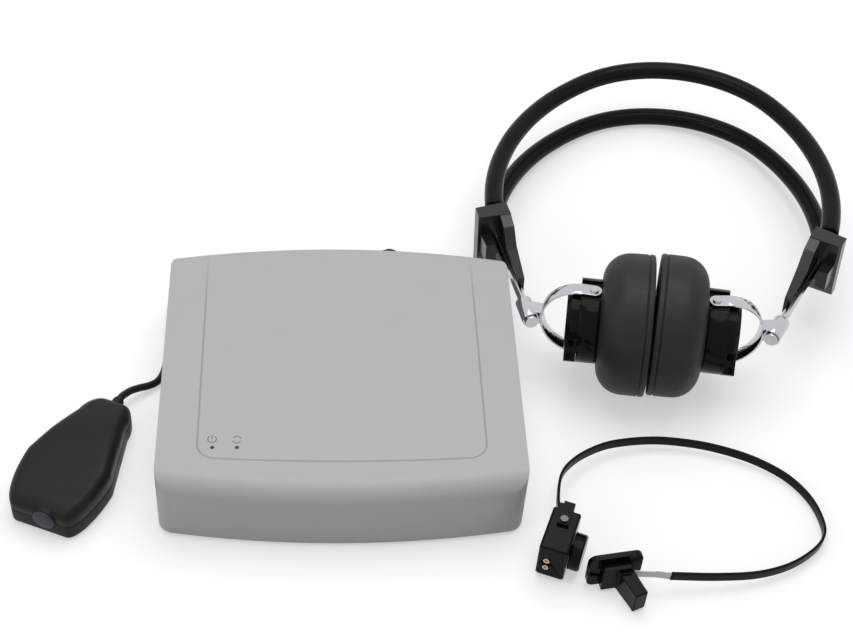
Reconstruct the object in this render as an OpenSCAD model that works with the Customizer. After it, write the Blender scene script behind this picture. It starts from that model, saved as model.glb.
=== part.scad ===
// Table audiometer kit: the unit, a patient response handpiece on its cord,
// an air-conduction headset and a bone-conduction headset, as they lie on a table.
// Millimetres. +X right, +Y away from the user, +Z up; the unit's centre is over the origin.

/* [Unit] */
// Width of the unit
unit_w = 160; // [150:1:175]
// Depth of the unit on its centre line
unit_d = 149.4; // [142:0.2:160]
// Height of the cover over the feet
unit_h = 35; // [33:0.5:42]
// How far the back edge bows out
back_bow = 7.5; // [6:0.5:9]
// How far the front edge bows out
front_bow = 7; // [6:0.5:9]
// Radius of the upright corners
corner_r = 7.5; // [6:0.5:9]
// Radius of the bend from the top into the front
front_r = 9; // [6:0.5:11]
// Radius of the other top edges
edge_r = 3.5; // [3:0.5:5]
// Wall of the cover
wall = 2.2; // [1.8:0.1:2.8]
// Thickness of the base plate
base_t = 3; // [2.5:0.1:4]
// Height of the rubber feet
foot_h = 2; // [1.5:0.1:3]
// Diameter of the rubber feet
foot_d = 13; // [10:0.5:16]
// How far the rear panel is set back from the middle of the back edge
rear_inset = 20; // [18:0.1:22]
// Height of the jack sockets over the table
socket_z = 21; // [20:0.5:23]
// Bore of the jack sockets
socket_bore = 6.5; // [6:0.1:7]
// Distance between the jack sockets
socket_pitch = 16; // [14:0.5:18]
// Thickness of the circuit board
board_t = 1.6; // [1:0.1:2]
// Diameter of the screws of the cover
screw_d = 3; // [2.5:0.1:3.5]

/* [Handpiece] */
// Length of the handpiece
hand_l = 71; // [68:1:76]
// Width of the handpiece at its front
hand_w = 40.6; // [38:0.1:44]
// Height of the handpiece
hand_h = 19.4; // [18:0.1:22]
// Height of the joint between its two shells
hand_split = 9; // [8:0.5:11]
// Wall of the shells
hand_wall = 1.8; // [1.4:0.1:2.4]
// Diameter of the response button
button_d = 10.5; // [9:0.5:12]
// Travel of the response button
button_travel = 2; // [1:0.1:2.5]
// Diameter of the cord
cord_d = 3.5; // [3:0.1:3.8]

/* [Headset] */
// Diameter of the headband's sleeves
tube_d = 9.3; // [8.5:0.1:10]
// Diameter of the spring rods inside the sleeves
core_d = 5; // [4:0.1:5.5]
// Radius of the crown bend
crown_r = 68.7; // [60:0.1:75]
// Radius of the side bends
side_r = 124.5; // [118:0.1:130]
// Half the height between the two sleeves at the ears
tube_gap = 12; // [11.5:0.1:13]
// Lean of each sleeve's plane
tube_lean = 1.17; // [1:0.01:1.4]
// Diameter of the adjusting rods
rod_d = 4; // [3.5:0.1:4.2]
// Distance from the swivel blocks to the top of the brackets
bracket_y = 63; // [60:0.1:63]
// Diameter of the swivel blocks
block_d = 8; // [7.5:0.1:9]
// Length of the swivel blocks
block_l = 13; // [11:0.5:15]
// Width of the yoke strips
yoke_w = 7; // [4:0.1:7.4]
// Thickness of the yoke strips
yoke_t = 1; // [0.8:0.1:1.4]
// Half the width across the yoke's ears
yoke_r = 19; // [18.5:0.1:20]
// Distance from block to pivot
yoke_reach = 30.5; // [29.5:0.1:32]
// Diameter of the ear cushions
cushion_d = 67; // [62:0.5:69]
// Thickness of the ear cushions
cushion_t = 23.5; // [21:0.5:24]
// Radius of the cushion's back shoulder
cushion_r = 13; // [8:0.5:14]
// Distance from pivot to the cushion's face
face_x = 27.1; // [27.1:0.1:28]
// Diameter of the earphone's collar
collar_d = 40; // [37.5:0.1:40.5]
// Diameter of the earphone's rear section
rear_d = 32; // [30:0.5:33]

/* [Bone set] */
// Height of the steel spring strip
strip_h = 4.2; // [3.8:0.1:4.6]
// Thickness of the steel spring strip
strip_t = 0.5; // [0.4:0.1:0.7]
// Wall of the sleeve over the strip
sleeve_wall = 0.4; // [0.3:0.1:0.6]
// Thickness of the vibrator
vib_t = 12.5; // [12:0.1:14]
// Length of the vibrator
vib_l = 23; // [21:0.5:24]
// Height of the vibrator
vib_h = 20; // [18:0.5:20.5]
// Wall of the vibrator's case
vib_wall = 1.5; // [1.2:0.1:2]
// Diameter of the contact disc
disc_d = 16.5; // [15:0.1:17]
// Projection of the contact disc
disc_l = 5.5; // [5:0.1:6]
// Width of the temple pad
pad_w = 24; // [22:0.5:25]
// Height of the temple pad
pad_h = 18; // [16:0.5:19]
// Thickness of the temple pad
pad_t = 2.6; // [2:0.1:3]
// Length of the finger stem
stem_l = 13.5; // [12:0.5:15]

/* [Hidden] */
fine = 96;
fit = 0.05;    // running clearance of a turning or sliding fit
seat = 0.2;    // clearance of a piece that is dropped into its place
soft = 0.3;    // clearance round a soft piece

grey = [0.70, 0.71, 0.71];
black = [0.06, 0.06, 0.065];
chrome = [0.8, 0.8, 0.82];

// ---- unit ----

top_z = foot_h + unit_h;
back_y = unit_d / 2;
back_r = bow_radius(back_bow);
frontbow_r = bow_radius(front_bow);
rear_y = back_y - rear_inset;
panel_t = 2.5;
panel_w = unit_w - 2 * corner_r;
opening_w = panel_w - 7;
hood_h = 5;
base_top = foot_h + base_t;
boss_x = unit_w / 2 - 14;
boss_y = unit_d / 2 - 29;
boss_d = 8;
head_d = 2 * screw_d;
head_t = 1.6;
foot_x = unit_w / 2 - 28;
foot_y = unit_d / 2 - 30;
board_z = base_top + 4;
board_w = unit_w - 46;
board_d = unit_d - 52;
board_y = rear_y - panel_t - 18 - board_d / 2 + 12;
socket_body = 11;
socket_l = 15;
socket_x0 = -2 * socket_pitch;
usb_x = 3 * socket_pitch;
light_x = [-56, -45.4];
light_y = -49.4;
light_d = 1.4;

function bow_radius(bow) = ((unit_w / 2) ^ 2 + bow ^ 2) / (2 * bow);

// Half of the outline, set in by g: a bowed edge between two round corners
module plan_half(r, g) {
  arc_y = unit_d / 2 - r;
  cx = unit_w / 2 - corner_r;
  cy = arc_y + sqrt((r - corner_r) ^ 2 - cx ^ 2);
  reach = cx * (r - g) / (r - corner_r);
  intersection() {
    translate([0, arc_y]) circle(r - g, $fn = 4 * fine);
    translate([-reach, -1]) square([2 * reach, unit_d]);
  }
  translate([g - unit_w / 2, -1]) square([unit_w - 2 * g, cy + 1]);
  for (side = [-1, 1]) translate([side * cx, cy]) circle(corner_r - g, $fn = fine);
}

module plan(g) {
  plan_half(back_r, g);
  mirror([0, 1]) plan_half(frontbow_r, g);
}

// Section with its upper corner rounded: reach along x, rounding r, top at top_z - g
module rounded_section(reach, r, g) {
  square([reach - r, top_z - g]);
  square([reach, top_z - g - r]);
  translate([reach - r, top_z - g - r]) circle(r, $fn = fine);
}

// The cover's form, set in by g, from the table up
module cover_form(g) {
  intersection() {
    linear_extrude(top_z) plan(g);
    translate([0, unit_d / 2 - back_r, 0])
      rotate_extrude($fn = 4 * fine) rounded_section(back_r - g, edge_r - g, g);
    translate([0, frontbow_r - unit_d / 2, 0])
      rotate_extrude($fn = 4 * fine) rounded_section(frontbow_r - g, front_r - g, g);
    for (side = [0, 1]) mirror([side, 0, 0]) side_form(g);
  }
}

module side_form(g) {
  translate([0, unit_d, 0]) rotate([90, 0, 0]) linear_extrude(2 * unit_d) {
    rounded_section(unit_w / 2 - g, edge_r - g, g);
    translate([-unit_w, 0]) square([unit_w, top_z]);
  }
}

module top_cover() color(grey) {
  difference() {
    cover_form(0);
    intersection() {
      cover_form(wall);
      translate([-unit_w, -unit_d, -1]) cube([2 * unit_w, 2 * unit_d, top_z]);
    }
    translate([-unit_w, -unit_d, -1]) cube([2 * unit_w, 2 * unit_d, 1 + foot_h]);
    translate([-opening_w / 2, rear_y - 1, -1]) cube([opening_w, unit_d, 1 + top_z - hood_h]);
    for (x = light_x) translate([x, light_y, top_z - 2 * wall])
      cylinder(d = light_d + 2 * seat, h = 3 * wall, $fn = 24);
  }
  for (sx = [-1, 1], sy = [-1, 1]) translate([sx * boss_x, sy * boss_y, base_top]) difference() {
    cylinder(d = boss_d, h = top_z - wall - base_top, $fn = fine);
    translate([0, 0, -1]) cylinder(d = screw_d + 2 * fit, h = 11, $fn = 32);
  }
}

module base_plate() color([0.5, 0.51, 0.52]) difference() {
  translate([0, 0, foot_h]) linear_extrude(base_t) intersection() {
    plan(wall + seat);
    translate([-unit_w, -unit_d]) square([2 * unit_w, unit_d + rear_y]);
  }
  for (sx = [-1, 1], sy = [-1, 1]) translate([sx * boss_x, sy * boss_y, 0]) {
    translate([0, 0, foot_h - 1]) cylinder(d = screw_d + 4 * seat, h = base_t + 2, $fn = 32);
    translate([0, 0, foot_h - 1]) cylinder(d = head_d + 2 * seat, h = 1 + head_t, $fn = 32);
  }
}

module rear_panel() color([0.33, 0.34, 0.35]) difference() {
  translate([-panel_w / 2, rear_y - panel_t, base_top])
    cube([panel_w, panel_t, top_z - wall - base_top]);
  for (i = [0:4]) translate([socket_x0 + i * socket_pitch, rear_y + 1, socket_z])
    rotate([90, 0, 0]) cylinder(d = socket_body - 2, h = panel_t + 2, $fn = fine);
  translate([usb_x - 6.2, rear_y - panel_t - 1, board_z + board_t]) cube([12.4, panel_t + 2, 11.4]);
}

feet = [[0, 0], [foot_x, foot_y], [-foot_x, foot_y], [foot_x, -foot_y], [-foot_x, -foot_y]];

module rubber_feet() color(black) for (f = feet) translate([f[0], f[1], 0]) {
  cylinder(d1 = foot_d - 1, d2 = foot_d, h = foot_h / 2, $fn = fine);
  translate([0, 0, foot_h / 2]) cylinder(d = foot_d, h = foot_h / 2, $fn = fine);
}

module cover_screws() color(chrome)
  for (sx = [-1, 1], sy = [-1, 1]) translate([sx * boss_x, sy * boss_y, foot_h]) {
    cylinder(d = head_d, h = head_t, $fn = 32);
    cylinder(d = screw_d, h = 10, $fn = 32);
  }

module circuit_board() color([0.05, 0.3, 0.15]) {
  translate([-board_w / 2, board_y - board_d / 2, board_z]) cube([board_w, board_d, board_t]);
  for (sx = [-1, 1], sy = [-1, 1])
    translate([sx * (board_w / 2 - 6), board_y + sy * (board_d / 2 - 6), base_top])
    cylinder(d = 6, h = board_z - base_top, $fn = 32);
}

chips = [[-20, -8, 14], [12, -10, 18], [-2, 16, 10], [30, 14, 12], [-36, 18, 8], [34, -24, 9]];

module board_chips() color([0.1, 0.1, 0.11])
  for (c = chips) translate([c[0] - c[2] / 2, board_y + c[1] - c[2] / 2, board_z + board_t])
    cube([c[2], c[2], 2.4]);

module light_pipes() color([0.12, 0.14, 0.14])
  for (x = light_x) translate([x, light_y, board_z + board_t])
    cylinder(d = light_d, h = top_z - board_z - board_t + 0.1, $fn = 24);

module jack_sockets() color(black)
  for (i = [0:4]) translate([socket_x0 + i * socket_pitch, rear_y - panel_t, socket_z])
    rotate([90, 0, 0]) difference() {
      union() {
        cylinder(d = socket_body, h = socket_l, $fn = fine);
        translate([0, 0, -panel_t - 0.8])
          cylinder(d = socket_body - 2 - 2 * seat, h = panel_t + 1, $fn = fine);
        translate([-socket_body / 2, -(socket_z - board_z - board_t), 0])
          cube([socket_body, socket_z - board_z - board_t, socket_l]);
      }
      translate([0, 0, -panel_t - 1]) cylinder(d = socket_bore, h = socket_l + panel_t - 1, $fn = fine);
    }

module usb_socket() color(chrome)
  translate([usb_x, rear_y + 0.6, board_z + board_t]) rotate([90, 0, 0]) {
    difference() {
      translate([-6, 0, 0]) cube([12, 11, 16]);
      translate([-4.25, 1.6, -1]) cube([8.5, 7.8, 10]);
    }
    translate([-2.8, 3.9, 0.6]) cube([5.6, 3, 8.5]);
  }

// ---- handpiece ----

hand_at = [-116.7, -33.4, 0];
hand_turn = -22.6;
tail_w = 24.4;
tail_drop = 6.5;
nose_drop = 2.2;
button_z = 10;
button_x = 2.5;
hand_mid = 4.4;
corner = [8.4, 27.8];
tail_corner = [8.4, 13];
hand_round = 5;
hand_foot_r = 2.5;

// Half of the shells' outline from the tail round to the nose, set in by g
function hand_half(g) = concat(
  [for (a = [0:18:90]) [tail_w / 2 - tail_corner[0] + (tail_corner[0] - g) * sin(a),
    hand_l / 2 - tail_corner[1] + (tail_corner[1] - g) * cos(a)]],
  [for (a = [90:-15:0]) [hand_w / 2 - corner[0] + (corner[0] - g) * sin(a),
    corner[1] - hand_l / 2 - (corner[1] - g) * cos(a)]]);
function hand_outline(g) = let (h = hand_half(g))
  concat(reversed(h), [for (p = h) [-p[0], p[1]]]);
// Height of the top over the outline at y
function hand_top(y) = hand_h - (y < hand_mid
  ? nose_drop * ((hand_mid - y) / (hand_mid + hand_l / 2)) ^ 2
  : tail_drop * ((y - hand_mid) / (hand_l / 2 - hand_mid)) ^ 1.3);
function hand_level(g, a, top) = let (
    r = (top ? hand_round : hand_foot_r) - g)
  [for (p = hand_outline(g + r * (1 - cos(a)))) [p[0], p[1],
    top ? hand_top(p[1]) - g - r * (1 - sin(a)) : g + r * (1 - sin(a))]];
function hand_dome(g, k) = [for (p = hand_outline(hand_round)) let (
    y = hand_mid + k * (p[1] - hand_mid))
  [k * p[0], y, hand_top(y) - g]];

// Rounded form of the shells, set in by g
module hand_form(g) skin(concat(
  [for (a = [90:-30:0]) hand_level(g, a, false)],
  [for (a = [0:18:90]) hand_level(g, a, true)],
  [hand_dome(g, 0.55), hand_dome(g, 0.02)]));

module hand_place() translate(hand_at) rotate([0, 0, hand_turn]) children();

module slab(z0, z1) translate([-hand_l, -hand_l, z0]) cube([2 * hand_l, 2 * hand_l, z1 - z0]);

button_y = -hand_l / 2;
button_l = 10;
button_out = 1.2;
spring_gap = 6;
flange = [15, 4, 1.5];
switch_size = [10, 7, 9];
grommet_y = hand_l / 2 - 4;
grommet_z = 7.5;
post_x = 8;
post_y = 12;

module hand_openings() {
  translate([button_x, button_y - 10, button_z]) rotate([-90, 0, 0])
    cylinder(d = button_d + 2 * fit, h = 24, $fn = fine);
  translate([0, grommet_y - 4, grommet_z]) rotate([-90, 0, 0])
    cylinder(d = 7 + 2 * seat, h = 20, $fn = fine);
}

module handpiece_top() color(black) hand_place() difference() {
  intersection() {
    hand_form(0);
    slab(hand_split + fit, hand_h + 1);
  }
  hand_form(hand_wall);
  hand_openings();
}

module handpiece_base() color(black) hand_place() difference() {
  union() {
    difference() {
      intersection() {
        hand_form(0);
        slab(0, hand_split - fit);
      }
      hand_form(hand_wall);
    }
    for (side = [-1, 1]) translate([side * post_x, post_y, hand_wall - 0.5])
      cylinder(d = 6, h = hand_split - hand_wall, $fn = 32);
  }
  hand_openings();
  for (side = [-1, 1]) translate([side * post_x, post_y, -1]) {
    cylinder(d = 2.2 + 2 * fit, h = 20, $fn = 24);
    cylinder(d = 4.4, h = 2.2, $fn = 24);
  }
}

module handpiece_screws() color(chrome) hand_place()
  for (side = [-1, 1]) translate([side * post_x, post_y, 0.6]) {
    cylinder(d = 4, h = 0.6 + 1 - 2 * fit, $fn = 24);
    cylinder(d = 2.2, h = 7, $fn = 24);
  }

module response_button() color([0.33, 0.37, 0.40]) hand_place()
  translate([button_x, button_y - button_out, button_z]) rotate([-90, 0, 0]) {
    cylinder(d1 = button_d - 2, d2 = button_d, h = 1, $fn = fine);
    translate([0, 0, 1]) cylinder(d = button_d, h = button_l, $fn = fine);
    translate([-flange[0] / 2, -flange[1] / 2, button_out + hand_wall + seat]) cube(flange);
    cylinder(d = 3, h = button_l + 1 + spring_gap - button_travel - seat, $fn = 32);
  }

spring_y = button_y - button_out + 1 + button_l;

module spring_path_ring(turns, r, length, wire) {
  steps = turns * 10;
  points = [for (i = [0:steps]) [r * cos(36 * i), r * sin(36 * i), wire + (length - 2 * wire) * i / steps]];
  cord(points, wire, 6);
}

module button_spring() color(chrome) hand_place()
  translate([button_x, spring_y + 0.1, button_z]) rotate([-90, 0, 0])
  spring_path_ring(4, 3.2, spring_gap - 0.2, 0.3);

module response_switch() color([0.15, 0.15, 0.16]) hand_place()
  translate([button_x - switch_size[0] / 2, spring_y + spring_gap, 0]) {
    translate([0, 0, button_z - switch_size[2] / 2]) cube(switch_size);
    translate([0, 1, hand_wall]) cube([switch_size[0], 5, button_z - hand_wall]);
  }

module cord_grommet() color(black) hand_place()
  translate([0, grommet_y - 3, grommet_z]) rotate([-90, 0, 0]) {
    cylinder(d = 7, h = 8, $fn = fine);
    translate([0, 0, 8]) cylinder(d1 = 6.4, d2 = 5, h = 2, $fn = fine);
  }

// ---- cord ----

// The cord's route from the grommet, beside and behind the unit, to the hank
cord_route = [[-101.9, 2.14, 7.5], [-101, 4.3, 7.4], [-99.6, 6.5, 6.9],
  [-97, 9.4, 6.1], [-93.4, 12.2, 4.8], [-89.4, 14.7, 3.5],
  [-85.9, 18, 2.5], [-83.6, 23, 1.9], [-82.4, 30, 1.8], [-82.2, 40, 1.8], [-82.2, 49, 1.8], [-82.2, 58, 1.8],
  [-82, 66, 1.8], [-80, 73.5, 1.8], [-75.5, 80, 1.8], [-68.5, 85, 1.8], [-60, 88.5, 2], [-51, 91, 2.4],
  [-42, 92.1, 2.8], [-33, 91.9, 2.8], [-24, 91.4, 2.8], [-15, 90.3, 2.8], [-9, 89.3, 2.8], [-5.5, 89.24, 2.8]];

function unit3(v) = v / norm(v);
function tangent(p, i) = unit3(p[min(i + 1, len(p) - 1)] - p[max(i - 1, 0)]);
function ring(p, i, r, sides) = let (
    t = tangent(p, i),
    s = unit3(cross(abs(t[2]) > 0.95 ? [0, 1, 0] : [0, 0, 1], t)),
    u = cross(t, s))
  [for (k = [0:sides - 1]) p[i] + r * (cos(360 * (k + 0.5) / sides) * s + sin(360 * (k + 0.5) / sides) * u)];

function reversed(v) = [for (i = [len(v) - 1:-1:0]) v[i]];

// A closed skin over rings of equal count; when looped, the last ring joins the first
module skin(rings, looped = false) {
  n = len(rings);
  sides = len(rings[0]);
  walls = [for (i = [0:n - (looped ? 1 : 2)], k = [0:sides - 1]) let (
      j = (i + 1) % n, m = (k + 1) % sides)
    each [[i * sides + k, j * sides + k, i * sides + m], [i * sides + m, j * sides + k, j * sides + m]]];
  end = (n - 1) * sides;
  caps = looped ? [] : [for (k = [1:sides - 2]) each [[0, k, k + 1], [end, end + k + 1, end + k]]];
  polyhedron([for (r = rings) each r], concat(walls, caps), convexity = 10);
}

// A round tube of radius r along the points p
module cord(p, r, sides) skin([for (i = [0:len(p) - 1]) ring(p, i, r, sides)]);

module response_cord() color(black) cord(cord_route, cord_d / 2, 8);

// The hank: loops that spiral in and out, a layer up at each turn of the spiral
hank_at = [-2, 75];
hank_turns = 6;
hank_layers = 4;
hank_run = 68;
hank_base = 2.8;
hank_inner = 9.6;
hank_step = 4.9;
hank_waist = 0.84;
hank_rise = 3.95;
hank_rings = 24;
layer_turns = hank_turns / hank_layers;

// Distance from the hank's middle line after t turns: in, out, in, out
function hank_half(t) = let (u = t / layer_turns, k = floor(u), f = u - k)
  hank_inner + hank_step * layer_turns * (k % 2 == 0 ? 1 - f : f);
// Height after t turns: each climb is centred on the turn of the spiral
function climbed(f) = min(1, max(0, f));
function hank_z(t, k = 1) = k > hank_layers - 1 ? hank_base :
  hank_z(t, k + 1) + hank_rise * climbed((t - k * layer_turns) / 0.3 + 0.5);
// A place on the racetrack with half width h; the turn starts in the middle of the far run
function hank_spot(t) = let (
    h = hank_half(t), f = t - floor(t), arc = PI * h, all = 2 * (hank_run + arc), s = f * all,
    half = hank_run / 2)
  s < half ? [s, h] :
  s < half + arc ? [half + h * sin(180 * (s - half) / arc), h * cos(180 * (s - half) / arc)] :
  s < 3 * half + arc ? [2 * half + arc - s, -h] :
  s < 3 * half + 2 * arc ? let (a = 180 * (s - 3 * half - arc) / arc) [-half - h * sin(a), -h * cos(a)] :
  [s - all, h];
function waist(x) = 1 - (1 - hank_waist) * exp(-(x / 17) ^ 2);
hank_loops = [for (i = [0:hank_turns * hank_rings]) let (
    t = i / hank_rings, q = hank_spot(t))
  [hank_at[0] + q[0], hank_at[1] + q[1] * waist(q[0]), hank_z(t)]];
hank_end = hank_loops[len(hank_loops) - 1];
hank_path = concat([hank_loops[0] - [cord_d, 0, 0]], hank_loops, [hank_end + [cord_d, 0, 0]]);
hank_gap = min([for (i = [0:len(hank_path) - 1], j = [i + 8:1:len(hank_path) - 1])
  norm(hank_path[i] - hank_path[j])]) - cord_d;
echo(hank_gap = hank_gap);

module cord_hank() color(black) cord(hank_path, cord_d / 2, 6);

// The cord's route from the hank up to the plug
tail_route = [[1.5, 89.24, 14.65], [6, 89.6, 14.65], [12, 90.6, 14.7], [18, 91, 15], [22, 91.1, 16.3],
  [25.6, 90.1, 18.3], [28.6, 86.8, 19.2], [30.8, 82.6, 20.1], [31.8, 77.8, 20.8], [32, 73.5, 21], [32, 70, 21]];

module cord_tail() color(black) cord(tail_route, cord_d / 2, 8);

module rounded_rect(w, h, r) {
  square([w - 2 * r, h], center = true);
  square([w, h - 2 * r], center = true);
  for (sx = [-1, 1], sy = [-1, 1]) translate([sx * (w / 2 - r), sy * (h / 2 - r)]) circle(r, $fn = 32);
}

tie_w = 8;
tie_t = 0.8;
tie_in_w = 2 * (hank_inner + hank_step * layer_turns) * hank_waist + cord_d + 0.4;
tie_in_h = hank_base + hank_rise * (hank_layers - 1) + cord_d / 2 + 0.15 - tie_t;

module cord_tie() color([0.1, 0.1, 0.1])
  translate([hank_at[0] - tie_w / 2, hank_at[1], tie_t + tie_in_h / 2]) rotate([90, 0, 90])
  linear_extrude(tie_w) difference() {
    rounded_rect(tie_in_w + 2 * tie_t, tie_in_h + 2 * tie_t, 2);
    rounded_rect(tie_in_w, tie_in_h, 1.2);
  }

plug_x = 2 * socket_pitch;
plug_back = 70;

module response_plug() color(black) translate([plug_x, plug_back, socket_z]) rotate([90, 0, 0]) {
  relief = 5;
  nose = plug_back - rear_y - 0.8 - seat;
  cylinder(d1 = 5, d2 = 7, h = relief, $fn = fine);
  translate([0, 0, relief]) cylinder(d = 9, h = nose - relief, $fn = fine);
  translate([0, 0, nose]) cylinder(d = socket_bore - 2 * fit, h = 15, $fn = fine);
}

// ---- headset ----

head_at = [unit_w / 2 + 65.1, 25.6, 34.35];
head_yaw = -13.8;
head_tilt = -3.9;
head_roll = -3.1;
crown = [-3.5, 124.6];
crown_half = 46.6;
left_end = 103.7;
right_end = 97.5;
band_sides = 16;
lean_y = 30;
core_in = 2.2;
core_l = side_r * core_in * PI / 180;

module head_place()
  translate(head_at) rotate([0, 0, head_yaw]) rotate([head_tilt, 0, 0]) rotate([0, head_roll, 0]) children();

side_shift = side_r - crown_r;
right_c = crown - side_shift * [sin(crown_half), cos(crown_half)];
left_c = crown - side_shift * [-sin(crown_half), cos(crown_half)];

// Angles from the crown direction at which the headband's rings stand, left negative
function band_angles(more) = concat(
  [for (i = [0:12]) -left_end - more + i * (left_end + more - crown_half) / 12],
  [for (i = [1:15]) -crown_half + i * crown_half / 8],
  [for (i = [0:12]) crown_half + i * (right_end + more - crown_half) / 12]);
function band_centre(a) = a < -crown_half ? left_c : a > crown_half ? right_c : crown;
function band_radius(a) = abs(a) > crown_half ? side_r : crown_r;
function band_ring(a, r) = [for (k = [0:band_sides - 1]) let (
    turn = 360 * (k + 0.5) / band_sides, reach = band_radius(a) + r * cos(turn))
  [band_centre(a)[0] + reach * sin(a), band_centre(a)[1] + reach * cos(a), r * sin(turn)]];

// Where a sleeve ends, with +Z on along the headband
module band_end(left) {
  end = left ? left_end : right_end;
  translate((left ? left_c : right_c) + side_r * [(left ? -1 : 1) * sin(end), cos(end)])
    rotate([90, 0, left ? end - 90 : 90 - end]) children();
}

// Puts a bent rod in the upper (1) or lower (-1) plane of the headband
module band_plane(up)
  translate([0, lean_y, up * tube_gap]) rotate([up * tube_lean, 0, 0]) translate([0, -lean_y, 0]) children();

module sleeve(up) color(black) head_place() band_plane(up)
  skin(concat([for (a = band_angles(0)) band_ring(a, tube_d / 2)],
    reversed([for (a = band_angles(0)) band_ring(a, core_d / 2 + seat)])), looped = true);

module upper_sleeve() sleeve(1);
module lower_sleeve() sleeve(-1);
module spring_rods() color(chrome) head_place() for (up = [-1, 1]) band_plane(up)
  skin([for (a = band_angles(core_in)) band_ring(a, core_d / 2)]);

left_block_at = [-58.2, -1.7];
right_block_at = [58.2, 9.3];
left_lean = 24.2;
right_lean = 18.8;
left_heading = -0.8;
right_heading = 192.8;
left_cup_heading = 4;
right_cup_heading = 182;

// Frame of a rod: its block at the origin, +Y along the rod to the headband, +X away from the head
module rod_place(left) head_place()
  translate(left ? left_block_at : right_block_at)
  rotate([0, 0, left ? left_lean : -right_lean]) mirror([left ? 1 : 0, 0, 0]) children();

rod_in = 1.5;
head_z = 16.4;
head_y0 = 9.5;

module bracket_side(points)
  translate([-20, bracket_y, 0]) rotate([90, 0, 90]) linear_extrude(40) polygon(points);

module bracket(left) color(black) difference() {
  rod_place(left) {
    intersection() {
      translate([0, bracket_y, -head_z]) linear_extrude(2 * head_z)
        polygon([[-6, -head_y0], [-6, 0], [10, -1.5], [10, -head_y0 + 1.5], [8.8, -head_y0]]);
      bracket_side([[0, head_z], [-head_y0, head_z], [-head_y0, -8], [-6.2, -head_z], [0, -head_z]]);
    }
    intersection() {
      bracket_side([[-head_y0 + 1, head_z], [-16, 13.5], [-22, 5.6], [-44.5, 4.6],
        [-44.5, -4.6], [-22, -5.2], [-head_y0 + 1, -6]]);
      translate([0, bracket_y, -head_z]) linear_extrude(2 * head_z)
        polygon([[-6, 1 - head_y0], [-6, -22], [-3.6, -44.5], [-0.6, -44.5], [-0.6, 1 - head_y0]]);
    }
    translate([0, bracket_y, -5]) linear_extrude(10)
      polygon([[3, 1 - head_y0], [3.2, -18], [8.4, -18], [8.8, 1 - head_y0]]);
  }
  rod_place(left) rotate([-90, 0, 0]) cylinder(d = rod_d + 2 * fit, h = 2 * bracket_y, $fn = fine);
  head_place() for (up = [-1, 1]) band_plane(up) band_end(left)
    translate([0, 0, -5]) cylinder(d = core_d + 2 * seat, h = 5 + core_l + 0.4, $fn = fine);
}

module left_bracket() bracket(true);
module right_bracket() bracket(false);

module rod(left) color(chrome) rod_place(left) rotate([-90, 0, 0]) {
  low = -block_l / 2 - seat;
  translate([0, 0, low]) cylinder(d = rod_d, h = bracket_y - rod_in - low, $fn = fine);
  translate([0, 0, low - 1.4]) cylinder(d = block_d - 1.6, h = 1.4, $fn = fine);
}

module left_rod() rod(true);
module right_rod() rod(false);

// Frame of a yoke: its block at the origin, +X towards the earphone
module yoke_place(left) head_place()
  translate(left ? left_block_at : right_block_at)
  rotate([0, 0, left ? left_heading : right_heading]) children();

yoke_arc = yoke_reach - 5;

module block(left) color(chrome) difference() {
  union() {
    rod_place(left) rotate([90, 0, 0]) cylinder(d = block_d, h = block_l, center = true, $fn = fine);
    intersection() {
      yoke_place(left) translate([0, -yoke_w / 2, -3.5]) cube([block_d, yoke_w, 7]);
      yoke_place(left) translate([yoke_arc, 0, 0]) rotate([90, 0, 0]) difference() {
        cylinder(r = 3 * yoke_r, h = 3 * yoke_w, center = true, $fn = fine);
        cylinder(r = yoke_r, h = 4 * yoke_w, center = true, $fn = 2 * fine);
      }
    }
  }
  rod_place(left) rotate([90, 0, 0])
    cylinder(d = rod_d + 2 * fit, h = 2 * block_l, center = true, $fn = fine);
}

module left_block() block(true);
module right_block() block(false);

ear_end = 3.5;
pivot_d = 2;

module yoke(left) color(chrome) yoke_place(left) difference() {
  union() {
    rotate([90, 0, 0]) linear_extrude(yoke_w, center = true) {
      difference() {
        translate([yoke_arc, 0]) circle(yoke_r, $fn = 2 * fine);
        translate([yoke_arc, 0]) circle(yoke_r - yoke_t, $fn = 2 * fine);
        translate([yoke_arc, -2 * yoke_r]) square(4 * yoke_r);
      }
      for (up = [-1, 1]) translate([yoke_arc, up * (yoke_r - yoke_t / 2) - yoke_t / 2])
        square([yoke_reach - yoke_arc, yoke_t]);
    }
    for (up = [-1, 1]) translate([yoke_reach, 0, up * (yoke_r - yoke_t / 2)])
      cylinder(r = ear_end, h = yoke_t, center = true, $fn = fine);
  }
  translate([yoke_reach, 0, 0]) cylinder(d = pivot_d + 2 * fit, h = 4 * yoke_r, center = true, $fn = 48);
}

module left_yoke() yoke(true);
module right_yoke() yoke(false);

module pivots(left) color(chrome) yoke_place(left) for (up = [0, 1]) translate([yoke_reach, 0, 0])
  mirror([0, 0, up]) {
    translate([0, 0, yoke_r]) cylinder(d = 4, h = 0.9, $fn = 48);
    translate([0, 0, yoke_r - yoke_t - 3]) cylinder(d = pivot_d, h = yoke_t + 3, $fn = 48);
  }

module left_pivots() pivots(true);
module right_pivots() pivots(false);

function pivot_at(left) = let (h = left ? left_heading : right_heading)
  (left ? left_block_at : right_block_at) + yoke_reach * [cos(h), sin(h)];

// Frame of an earphone: +Z through its pivots, +X towards the ear
module cup_place(left) head_place() translate(pivot_at(left))
  rotate([0, 0, left ? left_cup_heading : right_cup_heading]) children();

module along_x() rotate([90, 0, 90]) children();

cushion_x = face_x - cushion_t;
collar_x0 = -6;
collar_x1 = cushion_x - soft;
back_x = -12;
flat_z = yoke_r - yoke_t - seat - fit;
grille_r = 17.8;
grille_x = cushion_x + 4;
recess_r = grille_r + soft;
jack_d = 3.2;
jack_pitch = 6.1;
jack_x = -8.9;
jack_w = 5.4;

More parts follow.
